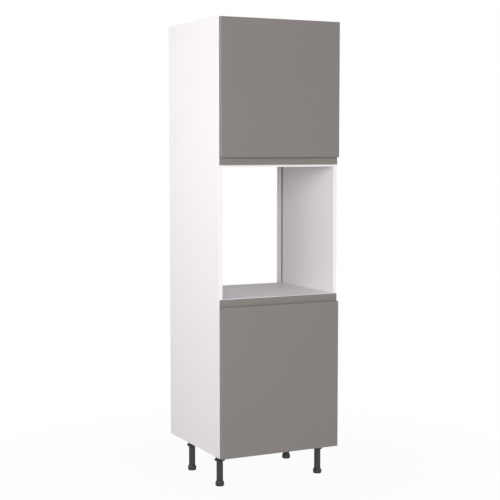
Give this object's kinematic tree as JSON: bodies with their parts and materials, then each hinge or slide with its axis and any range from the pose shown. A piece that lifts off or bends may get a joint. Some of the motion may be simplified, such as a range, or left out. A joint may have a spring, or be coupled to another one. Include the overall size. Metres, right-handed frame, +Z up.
{
  "type": "tall oven housing unit",
  "caption": "Tall white kitchen cabinet on adjustable legs with an open oven aperture between two cupboards closed by taupe slab doors with scooped finger pulls.",
  "frame": {"origin": "centre of the footprint on the floor", "axes": "+Z up, front faces -Y, +X to the right as seen from the front"},
  "size_m": [0.6, 0.584, 2.11],
  "materials": {
    "white_board": "white melamine faced board, satin",
    "door_face": "taupe grey matt painted board",
    "leg_plastic": "dark grey moulded plastic",
    "nickel": "nickel plated steel",
    "zinc": "zinc plated steel",
    "bumper": "clear soft buffer"
  },
  "bodies": {
    "carcass": {"left_side_panel": "white_board", "right_side_panel": "white_board", "base_panel": "white_board", "oven_shelf": "white_board", "oven_top_panel": "white_board", "top_panel": "white_board", "lower_back_panel": "white_board", "upper_back_panel": "white_board", "wall_fixing_rail": "white_board", "lower_loose_shelf": "white_board", "upper_loose_shelf": "white_board", "lower_shelf_pin_front_left": "nickel", "lower_shelf_pin_front_right": "nickel", "lower_shelf_pin_rear_left": "nickel", "lower_shelf_pin_rear_right": "nickel", "upper_shelf_pin_front_left": "nickel", "upper_shelf_pin_front_right": "nickel", "upper_shelf_pin_rear_left": "nickel", "upper_shelf_pin_rear_right": "nickel", "wall_bracket_left": "zinc", "wall_bracket_right": "zinc", "leg_socket_front_left": "leg_plastic", "leg_socket_front_right": "leg_plastic", "leg_socket_rear_left": "leg_plastic", "leg_socket_rear_right": "leg_plastic", "leg_tube_front_left": "leg_plastic", "leg_tube_front_right": "leg_plastic", "leg_tube_rear_left": "leg_plastic", "leg_tube_rear_right": "leg_plastic", "lower_hinge_plate_bottom": "nickel", "lower_hinge_plate_top": "nickel", "lower_hinge_arm_bottom": "nickel", "lower_hinge_arm_top": "nickel", "upper_hinge_plate_bottom": "nickel", "upper_hinge_plate_top": "nickel", "upper_hinge_arm_bottom": "nickel", "upper_hinge_arm_top": "nickel"},
    "leg_foot_front_left": {"leg_foot_front_left": "leg_plastic"},
    "leg_foot_front_right": {"leg_foot_front_right": "leg_plastic"},
    "leg_foot_rear_left": {"leg_foot_rear_left": "leg_plastic"},
    "leg_foot_rear_right": {"leg_foot_rear_right": "leg_plastic"},
    "lower_outer_links": {"lower_hinge_outer_link_bottom": "nickel", "lower_hinge_outer_link_top": "nickel"},
    "lower_inner_links": {"lower_hinge_inner_link_bottom": "nickel", "lower_hinge_inner_link_top": "nickel"},
    "lower_door_leaf": {"lower_door": "door_face", "lower_hinge_cup_bottom": "nickel", "lower_hinge_cup_top": "nickel", "lower_door_bumper_bottom": "bumper", "lower_door_bumper_top": "bumper"},
    "upper_outer_links": {"upper_hinge_outer_link_bottom": "nickel", "upper_hinge_outer_link_top": "nickel"},
    "upper_inner_links": {"upper_hinge_inner_link_bottom": "nickel", "upper_hinge_inner_link_top": "nickel"},
    "upper_door_leaf": {"upper_door": "door_face", "upper_hinge_cup_bottom": "nickel", "upper_hinge_cup_top": "nickel", "upper_door_bumper_bottom": "bumper", "upper_door_bumper_top": "bumper"}
  },
  "joints": [
    {"name": "lower_door_swing", "type": "hinge", "parent": "lower_outer_links", "child": "lower_door_leaf", "pos_m": [0.2822, -0.273, 0.5], "axis": [0, 0, 1], "range_deg": [0, 128.25]},
    {"name": "lower_outer_link_swing", "type": "hinge", "parent": "carcass", "child": "lower_outer_links", "pos_m": [0.248, -0.261, 0.5], "axis": [0, 0, 1], "range_deg": [-33.3, 0.05]},
    {"name": "lower_inner_link_swing", "type": "hinge", "parent": "carcass", "child": "lower_inner_links", "pos_m": [0.2628, -0.2765, 0.5], "axis": [0, 0, 1], "range_deg": [-54.2, 0.05]},
    {"name": "upper_door_swing", "type": "hinge", "parent": "upper_outer_links", "child": "upper_door_leaf", "pos_m": [0.2822, -0.273, 1.792], "axis": [0, 0, 1], "range_deg": [0, 128.25]},
    {"name": "upper_outer_link_swing", "type": "hinge", "parent": "carcass", "child": "upper_outer_links", "pos_m": [0.248, -0.261, 1.792], "axis": [0, 0, 1], "range_deg": [-33.3, 0.05]},
    {"name": "upper_inner_link_swing", "type": "hinge", "parent": "carcass", "child": "upper_inner_links", "pos_m": [0.2628, -0.2765, 1.792], "axis": [0, 0, 1], "range_deg": [-54.2, 0.05]},
    {"name": "leg_foot_front_left_screw", "type": "slide", "parent": "carcass", "child": "leg_foot_front_left", "axis": [0, 0, -1], "range_m": [0, 0.02]},
    {"name": "leg_foot_front_right_screw", "type": "slide", "parent": "carcass", "child": "leg_foot_front_right", "axis": [0, 0, -1], "range_m": [0, 0.02]},
    {"name": "leg_foot_rear_left_screw", "type": "slide", "parent": "carcass", "child": "leg_foot_rear_left", "axis": [0, 0, -1], "range_m": [0, 0.02]},
    {"name": "leg_foot_rear_right_screw", "type": "slide", "parent": "carcass", "child": "leg_foot_rear_right", "axis": [0, 0, -1], "range_m": [0, 0.02]}
  ],
  "couplings": [
    {"joint": "lower_outer_link_swing", "follows": "lower_door_swing", "ratio": -0.25926},
    {"joint": "lower_inner_link_swing", "follows": "lower_door_swing", "ratio": -0.42222},
    {"joint": "upper_outer_link_swing", "follows": "upper_door_swing", "ratio": -0.25926},
    {"joint": "upper_inner_link_swing", "follows": "upper_door_swing", "ratio": -0.42222}
  ]
}
